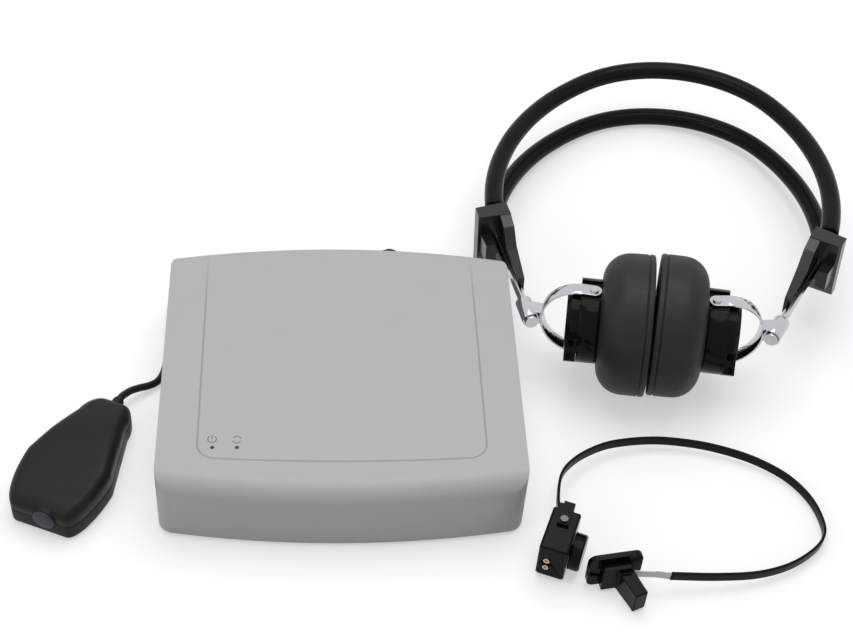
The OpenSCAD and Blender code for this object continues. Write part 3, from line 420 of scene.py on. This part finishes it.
# Points of the groove between the shells: how far in, and how far from the split
splitLip = ((0, 0.55), (0.06, 0.3), (0.25, 0.12), (0.55, 0.05), (1.15, 0.04))
handTurn = turned(z=handSet["turn"])


def handOutline(look, inset):
    # Half outline: elliptic tail corner, straight flank, elliptic nose corner; then its mirror image
    a = np.radians(np.linspace(0, 90, look["tailSteps"]))
    b = np.radians(np.linspace(90, 0, look["noseSteps"]))
    tx, ty = look["tailCorner"]
    cx, cy = look["corner"]
    tail = np.stack([look["tailWidth"] / 2 - tx + (tx - inset) * np.sin(a),
                     look["length"] / 2 - ty + (ty - inset) * np.cos(a)], -1)
    nose = np.stack([look["width"] / 2 - cx + (cx - inset) * np.sin(b),
                     cy - look["length"] / 2 - (cy - inset) * np.cos(b)], -1)
    s = np.linspace(0, 1, look["flankSteps"] + 2)[1:-1, None]
    half = np.vstack([tail, tail[-1] * (1 - s) + nose[0] * s, nose])
    share = np.linspace(look["endReach"], -look["endReach"], look["endSteps"])[:, None]
    across = share * [half[-1][0], 0] + [0, half[-1][1]]
    back = -share * [half[0][0], 0] + [0, half[0][1]]
    return np.vstack([half, across, half[::-1] * [-1, 1], back])


def handTop(look, y):
    # Height of the crown: it falls a little to the nose and more to the tail
    m, end = look["middle"], look["length"] / 2
    nose = look["noseDrop"] * (np.clip(m - y, 0, None) / (m + end)) ** look["noseBend"]
    tail = look["tailDrop"] * (np.clip(y - m, 0, None) / (end - m)) ** look["tailBend"]
    return look["height"] - nose - tail


def handRow(look, inset, z=None, drop=None):
    # The outline, drawn in by the inset, at height z or at a drop below the crown
    p = handOutline(look, inset)
    high = np.full(len(p), z) if drop is None else handTop(look, p[:, 1]) - drop
    return np.column_stack([p, high])


def makeShells(look):
    # Rows of each shell from below: the base's rounded foot and lip, the top's lip, shoulder and crown
    split, foot, r = look["split"], look["footRound"], look["round"]
    footTurns = np.radians(np.linspace(90, 0, look["footSteps"]))
    topTurns = np.radians(np.linspace(0, 90, look["roundSteps"]))
    base = [handRow(look, foot * (1 - np.cos(a)), z=foot * (1 - np.sin(a))) for a in footTurns]
    base += [handRow(look, inset, z=split - away) for inset, away in splitLip]
    top = [handRow(look, inset, z=split + away) for inset, away in reversed(splitLip)]
    top += [handRow(look, r * (1 - np.cos(a)), drop=r * (1 - np.sin(a))) for a in topTurns]
    inner = handOutline(look, r)
    for k in look["crownShares"]:
        p = inner * [k, k] + [0, look["middle"] * (1 - k)]
        top.append(np.column_stack([p, handTop(look, p[:, 1])]))
    for name, rows in (("handpiece_base", base), ("handpiece_top", top)):
        points = np.array(rows) @ handTurn.T + look["place"]
        shell = gridMesh("shell_" + name[10:], points, finish["softBlack"], "unit")
        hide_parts(name)


buttonSet = {"across": 2.5, "up": 10.0, "width": 10.5, "out": 1.2, "deep": 8.0, "ringDeep": 2.4, "sides": 64}


def makeButton(hand, look):
    # Revolved: domed face with a soft rim, and a ring round it that shades the gap
    r, face, deep, sunk = look["width"] / 2, look["out"], look["deep"], look["ringDeep"]
    out = turned(x=90)
    place = np.array([look["across"], -hand["length"] / 2, look["up"]]) @ handTurn.T + hand["place"]
    crown = [[tip, face + 0.35], [r * 0.4, face + 0.3], [r * 0.75, face + 0.12], [r - 0.7, face - 0.08],
             [r - 0.2, face - 0.4], [r, face - 0.9], [r, 0.2 - deep], [r - 0.3, -deep], [tip, -deep]]
    button = gridMesh("pressButton", revolved(np.array(crown), place, handTurn @ out, look["sides"]),
                      finish["buttonGrey"], "button")
    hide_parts("response_button")
    ring = roundedProfile([[r + 0.12, -sunk], [r + 1.0, -sunk], [r + 0.75, 0.28], [r + 0.22, 0.12]],
                          [0.2, 0.3, 0.3, 0.1], 4)
    collar = gridMesh("buttonCollar", revolved(ring, place, handTurn @ out, look["sides"]),
                      finish["softBlack"], "unit", loop=True)


reliefSet = {
    "start": (0, 26.5, 7.5), "long": 12.0, "steps": 61, "radius": 3.5, "taper": 0.95, "taperFrom": 3.0,
    "rib": 0.28, "pitch": 1.9, "gap": 0.25, "ribFrom": 3.2, "ribTo": 11.4, "mouth": 1.78, "sides": 48,
}


def makeGrommet(look):
    # Strain relief: a ribbed taper round the cord, cut where the cosine of the pitch is over the gap
    long, plain = look["long"], look["taperFrom"]
    z = np.linspace(0, long, look["steps"])
    ribbed = (z > look["ribFrom"]) * (z < look["ribTo"])
    cut = (np.cos(z * 2 * np.pi / look["pitch"]) > look["gap"]) * ribbed
    r = look["radius"] - look["taper"] * np.clip((z - plain) / (long - plain), 0, 1) - look["rib"] * cut
    rows = np.vstack([[[tip, 0]], np.column_stack([r, z]), [[look["mouth"], long + 0.05]]])
    place = np.array(look["start"]) @ handTurn.T + handSet["place"]
    points = revolved(rows, place, handTurn @ turned(x=-90), look["sides"])
    relief = gridMesh("cordRelief", points, finish["cordBlack"], "unit")
    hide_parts("cord_grommet")


makeShells(handSet)
makeButton(handSet, buttonSet)
makeGrommet(reliefSet)
print("handpiece ready")

# ---- headset ----

headSet = {
    "place": (145.1, 25.6, 34.35), "crown": (-3.5, 124.6), "crownRadius": 68.7, "sideRadius": 124.5,
    "crownHalf": 46.6, "leftEnd": 103.7, "rightEnd": 97.5, "gap": 12.0, "lean": 1.17, "leanY": 30.0,
    "tube": 9.3, "bore": 5.2, "steps": (34, 60, 32), "sides": 28,
}
headTurn = turned(x=-3.9, y=-3.1, z=-13.8)


def bandAngles(look):
    # Left side, crown and right side, each with its own steps
    left, crown, right = look["steps"]
    parts = [np.linspace(-look["leftEnd"], -look["crownHalf"], left)[:-1],
             np.linspace(-look["crownHalf"], look["crownHalf"], crown)[:-1],
             np.linspace(look["crownHalf"], look["rightEnd"], right)]
    return np.concatenate(parts)


def bandRows(look, angles, radii):
    # Rings round a path of three tangent arcs: ring centre = arc centre + R (sin a, cos a)
    a = np.radians(angles)[:, None]
    shift = look["sideRadius"] - look["crownRadius"]
    h = np.radians(look["crownHalf"])
    outer = np.abs(angles)[:, None] > look["crownHalf"] + 1e-6
    sign = np.sign(angles)[:, None]
    cx = look["crown"][0] - outer * shift * np.sin(h) * sign
    cy = look["crown"][1] - outer * shift * np.cos(h)
    big = np.where(outer, look["sideRadius"], look["crownRadius"])
    k = np.linspace(0, 2 * np.pi, look["sides"], endpoint=False)[None]
    r = np.asarray(radii)[:, None]
    reach = big + r * np.cos(k)
    return np.stack([cx + reach * np.sin(a), cy + reach * np.cos(a), r * np.sin(k)], -1)


def headPoints(look, points, up=0):
    # From the band's own plane (up 1 or -1, leaning) or the headset's frame (0) to the part's frame
    if up:
        lean = turned(x=up * look["lean"])
        points = (points - [0, look["leanY"], 0]) @ lean.T + [0, look["leanY"], up * look["gap"]]
    return points @ headTurn.T + look["place"]


def makeSleeves(look):
    # Each sleeve is closed, with soft ends: the last three rings at each end draw in to the bore
    angles = bandAngles(look)
    r = look["tube"] / 2
    ends = np.array([0, 0, 0.12, 0.35])
    angles = np.concatenate([angles[0] + ends, angles[1:-1], angles[-1] - ends[::-1]])
    radii = np.full(len(angles), r)
    radii[[0, 1, 2]] = radii[[-1, -2, -3]] = [look["bore"] / 2, r - 0.5, r - 0.15]
    for name, up in (("upper_sleeve", 1), ("lower_sleeve", -1)):
        sleeve = gridMesh(name[:5] + "BandSleeve", headPoints(look, bandRows(look, angles, radii), up),
                          finish["bandBlack"], None)
        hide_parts(name)
        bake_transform(sleeve)


cupSet = {
    "left": {"block": (-58.2, -1.7), "heading": -0.8, "cup": 4.0},
    "right": {"block": (58.2, 9.3), "heading": 192.8, "cup": 182.0},
    "reach": 30.5, "face": 27.1, "cushionWidth": 67.0, "cushionDepth": 23.5, "shoulder": (13.0, 12.5),
    "recess": 18.1, "recessDepth": 4.0, "dish": (9.0, 10.0, 23.0), "seam": 20.6, "seamHalf": 0.5,
    "shoulderSteps": 9, "sides": 160,
}


def cupFrame(side):
    # Place and turn of an earphone, whose +X looks at the ear
    look = cupSet[side]
    h = np.radians(look["heading"])
    x, y = look["block"]
    pivot = np.array([x + cupSet["reach"] * np.cos(h), y + cupSet["reach"] * np.sin(h), 0])
    return headPoints(headSet, pivot), headTurn @ turned(z=look["cup"])


def makeCushion(side):
    # Revolved closed outline: elliptic shoulder at the back, a pressed line by the contact rim, a dish
    look = cupSet
    place, turn = cupFrame(side)
    r, d = look["cushionWidth"] / 2, look["cushionDepth"]
    near, deep, wide = look["dish"]
    s, half = look["seam"], look["seamHalf"]
    wideRound, deepRound = look["shoulder"]
    t = np.linspace(0, np.pi / 2, look["shoulderSteps"])
    shoulder = np.stack([r - 0.15 - wideRound * (1 - np.sin(t)), deepRound * (1 - np.cos(t))], -1)
    corners = [[look["recess"], 0], *shoulder, [r, s - half], [r - half, s - 0.1], [r - half, s + 0.1],
               [r, s + half], [r - 0.1, d], [wide - 0.2, d + 0.15], [near, deep],
               [near, look["recessDepth"]], [look["recess"], look["recessDepth"]]]
    radii = [0.4, *[0.8] * len(t), 0.25, 0.15, 0.15, 0.25, 2.4, 2.6, 1.2, 0.4, 0.4]
    out = np.array([[0, 0, 1], [1, 0, 0], [0, 1, 0]], float)
    start = place + np.array([look["face"] - d, 0, 0]) @ turn.T
    points = revolved(roundedProfile(corners, radii, 8), start, turn @ out, look["sides"])
    cushion = gridMesh(side + "EarCushion", points, finish["cushionBlack"], side + "_cup", loop=True)
    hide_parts(side + "_cushion")


makeSleeves(headSet)
makeCushion("left")
makeCushion("right")
print("headset ready")

# ---- bone-conduction set ----

boneSet = {
    "route": [[96.2, -67.9, 9.5], [95.7, -60, 9], [96.6, -52, 8.6], [98.6, -43.6, 8.3], [103, -36.6, 8],
              [111.6, -29.4, 7.5], [124.4, -23.4, 6.9], [143.6, -20.4, 6], [161.6, -21.6, 5.2],
              [177, -25.2, 4.5], [191.6, -31.4, 3.9], [204.4, -41, 3.4], [212.4, -53.4, 3.1],
              [215.1, -66.6, 3.1], [213.2, -75, 3.2], [206, -82.8, 3.6], [194, -90.2, 4.3],
              [179.1, -94.8, 5.2], [160.8, -96.8, 6.8], [140.8, -97.2, 8.3]],
    "thick": 1.3, "high": 5.0, "round": 0.55, "spanSteps": 10, "endShare": 0.8,
}


def makeBoneSleeve(look):
    # A flat sleeve on edge with rounded long edges, carried round the loop
    t, h = look["thick"] / 2, look["high"] / 2
    section = roundedProfile([[-t, -h], [t, -h], [t, h], [-t, h]], [look["round"]] * 4)
    path = splined(look["route"], look["spanSteps"])
    rows = swept(path, section)
    middle = path[[0, -1]][:, None]
    ends = middle + look["endShare"] * (rows[[0, -1]] - middle)
    rows = np.vstack([ends[:1], rows, ends[1:]])
    sleeve = gridMesh("boneBandSleeve", rows, finish["bandBlack"], None)
    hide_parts("bone_sleeve")
    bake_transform(sleeve)


makeBoneSleeve(boneSet)
print("bone set ready")

# ---- marks on the cover ----

markSet = {
    "high": 37.0, "thick": 0.05, "sunk": 0.02, "line": 0.42, "radius": 1.85,
    "standby": (-56.2, -44.8), "ringFrom": 125, "ringTo": 415, "barFrom": 0.1, "barPast": 0.35,
    "sync": (-45.6, -45.1), "arcStarts": (20, 200), "arcSweep": 130, "arcSteps": 32,
}


def flatStroke(name, points, look):
    # A low prism of the line's width along points on the cover
    path = np.column_stack([np.asarray(points, float), np.full(len(points), look["high"])])
    w = look["line"] / 2
    low, top = -look["sunk"], look["thick"]
    section = np.array([[-w, low], [w, low], [w, top], [-w, top]])
    stroke = gridMesh(name, swept(path, section), finish["markGrey"], "unit", smooth=False)


def arcPoints(middle, look, start, end):
    a = np.radians(np.linspace(start, end, look["arcSteps"]))
    return np.column_stack([middle[0] + look["radius"] * np.cos(a), middle[1] + look["radius"] * np.sin(a)])


def makeMarks(look):
    # Plain symbols by the two light dots: an open ring with a bar, and two arcs
    x, y = look["standby"]
    flatStroke("standbyRing", arcPoints((x, y), look, look["ringFrom"], look["ringTo"]), look)
    flatStroke("standbyBar", [[x, y + look["barFrom"]], [x, y + look["radius"] + look["barPast"]]], look)
    for k, turn in enumerate(look["arcStarts"]):
        flatStroke("turnArc%d" % k, arcPoints(look["sync"], look, turn, turn + look["arcSweep"]), look)


makeMarks(markSet)

# ---- finishes of the kept pieces ----

keptFinish = {
    "coverGrey": ["top_cover"], "plateGrey": ["base_plate"], "panelGrey": ["rear_panel"],
    "footRubber": ["rubber_feet"],
    "screwSteel": ["cover_screws", "handpiece_screws", "button_spring", "usb_socket"],
    "boardGreen": ["circuit_board"],
    "chipBlack": ["board_chips", "response_switch", "left_driver", "right_driver"],
    "pipeDark": ["light_pipes"], "strapBlack": ["cord_tie"],
    "caseBlack": ["jack_sockets", "response_plug", "left_housing", "right_housing", "bone_fork",
                  "vibrator_case", "vibrator_lid", "contact_disc", "pad_slider", "temple_pad"],
    "bracketBlack": ["left_bracket", "right_bracket"], "grilleBlack": ["left_grille", "right_grille"],
    "chrome": [side + piece for side in ("left_", "right_") for piece in ("rod", "block", "yoke", "pivots")],
    "springSteel": ["spring_rods", "bone_strip", "vibrator_core"], "pinBrass": ["pin_sleeves"],
    "darkSteel": ["fork_screws"],
}
# Edge widths in mm, the joining distance in metres. A piece in freeEdges has edges that aren't held
# back where they meet.
edgeSet = {"join": 0.000004, "segments": 2, "sharp": 32}
softEdges = {
    "left_bracket": 0.5, "right_bracket": 0.5, "left_housing": 0.35, "right_housing": 0.35,
    "vibrator_case": 1.1, "vibrator_lid": 0.2, "bone_fork": 0.2, "pad_slider": 0.7, "temple_pad": 0.45,
    "contact_disc": 0.3, "left_block": 0.25, "right_block": 0.25, "left_yoke": 0.15, "right_yoke": 0.15,
    "left_pivots": 0.25, "right_pivots": 0.25, "left_rod": 0.15, "right_rod": 0.15,
    "response_plug": 0.25, "base_plate": 0.3, "bone_strip": 0.08, "pin_sleeves": 0.08, "top_cover": 0.2,
}
freeEdges = ("vibrator_case", "pad_slider")


def dressNode(name, material):
    node = nodes[name]
    if node.material_slots:
        for slot in node.material_slots:
            slot.link = "OBJECT"
            slot.material = material
    else:
        node.data.materials.append(material)


def softenEdges(name, width):
    # The loose triangles are joined, then sharp edges get a narrow bevel
    node = nodes[name]
    weld = node.modifiers.new("join", "WELD")
    weld.merge_threshold = edgeSet["join"]
    bevel = node.modifiers.new("soft edge", "BEVEL")
    bevel.width = width * mm
    bevel.segments = edgeSet["segments"]
    bevel.limit_method = "ANGLE"
    bevel.angle_limit = np.radians(edgeSet["sharp"])
    bevel.use_clamp_overlap = name not in freeEdges
    bevel.harden_normals = True


for look, names in keptFinish.items():
    for name in names:
        dressNode(name, finish[look])
for name, width in softEdges.items():
    softenEdges(name, width)
print("kept pieces dressed")

# ---- floor and light ----

floorSet = {"half": 6.0, "drop": 0.0002, "tone": 0.62, "rough": 0.9, "shine": 0.1, "glow": 0.47}
lightSet = {
    "world": 0.36,
    "lamps": [
        {"name": "overhead", "place": (0.1, 0.25, 1.3), "aim": (0.05, 0.02, 0.0), "size": 1.3, "power": 10.4},
        {"name": "leftSoft", "place": (-1.0, -0.5, 0.9), "aim": (0.0, 0.0, 0.0), "size": 0.9, "power": 2.6},
    ],
}


def whiteRays(tree):
    # 1 for the camera's, glossy and transmission rays, which see white
    path = tree.nodes.new("ShaderNodeLightPath")
    seen = mathNode(tree, "MAXIMUM", path.outputs["Is Camera Ray"], path.outputs["Is Glossy Ray"])
    return mathNode(tree, "MAXIMUM", seen, path.outputs["Is Transmission Ray"])


def makeFloor(look):
    # A wide sheet just under the table's height, which glows only in the rays that see it as white
    half, z = look["half"], -look["drop"]
    mesh = bpy.data.meshes.new("paleFloor")
    corners = [(-half, -half, z), (half, -half, z), (half, half, z), (-half, half, z)]
    mesh.from_pydata(corners, [], [(0, 1, 2, 3)])
    floor = bpy.data.objects.new("paleFloor", mesh)
    bpy.context.scene.collection.objects.link(floor)
    material = bpy.data.materials.new("paleFloor")
    material.use_nodes = True
    tree = material.node_tree
    shader = tree.nodes["Principled BSDF"]
    shader.inputs["Base Color"].default_value = (*[look["tone"]] * 3, 1)
    shader.inputs["Roughness"].default_value = look["rough"]
    shader.inputs["Specular IOR Level"].default_value = look["shine"]
    shader.inputs["Emission Color"].default_value = (1, 1, 1, 1)
    link(tree, mathNode(tree, "MULTIPLY", whiteRays(tree), look["glow"]), shader.inputs["Emission Strength"])
    mesh.materials.append(material)


def makeLight(look):
    # A dim white world that reads as full white to the white rays, and round lamps turned to their aims
    world = bpy.data.worlds.new("paleRoom")
    bpy.context.scene.world = world
    world.use_nodes = True
    tree = world.node_tree
    background = tree.nodes["Background"]
    background.inputs["Color"].default_value = (1, 1, 1, 1)
    seen = mathNode(tree, "MULTIPLY", whiteRays(tree), 1.0 - look["world"])
    link(tree, mathNode(tree, "ADD", seen, look["world"]), background.inputs["Strength"])
    for lamp in look["lamps"]:
        data = bpy.data.lights.new(lamp["name"], "AREA")
        data.shape = "DISK"
        data.size = lamp["size"]
        data.energy = lamp["power"]
        obj = bpy.data.objects.new(lamp["name"], data)
        bpy.context.scene.collection.objects.link(obj)
        back = np.array(lamp["place"]) - np.array(lamp["aim"])
        back /= np.linalg.norm(back)
        side = np.cross([0.0, 1.0, 0.0], back)
        side /= np.linalg.norm(side)
        obj.matrix_world = frameMatrix(side, back, lamp["place"])
    bpy.context.scene.view_settings.view_transform = "Standard"


makeFloor(floorSet)
makeLight(lightSet)
print("floor and light ready")
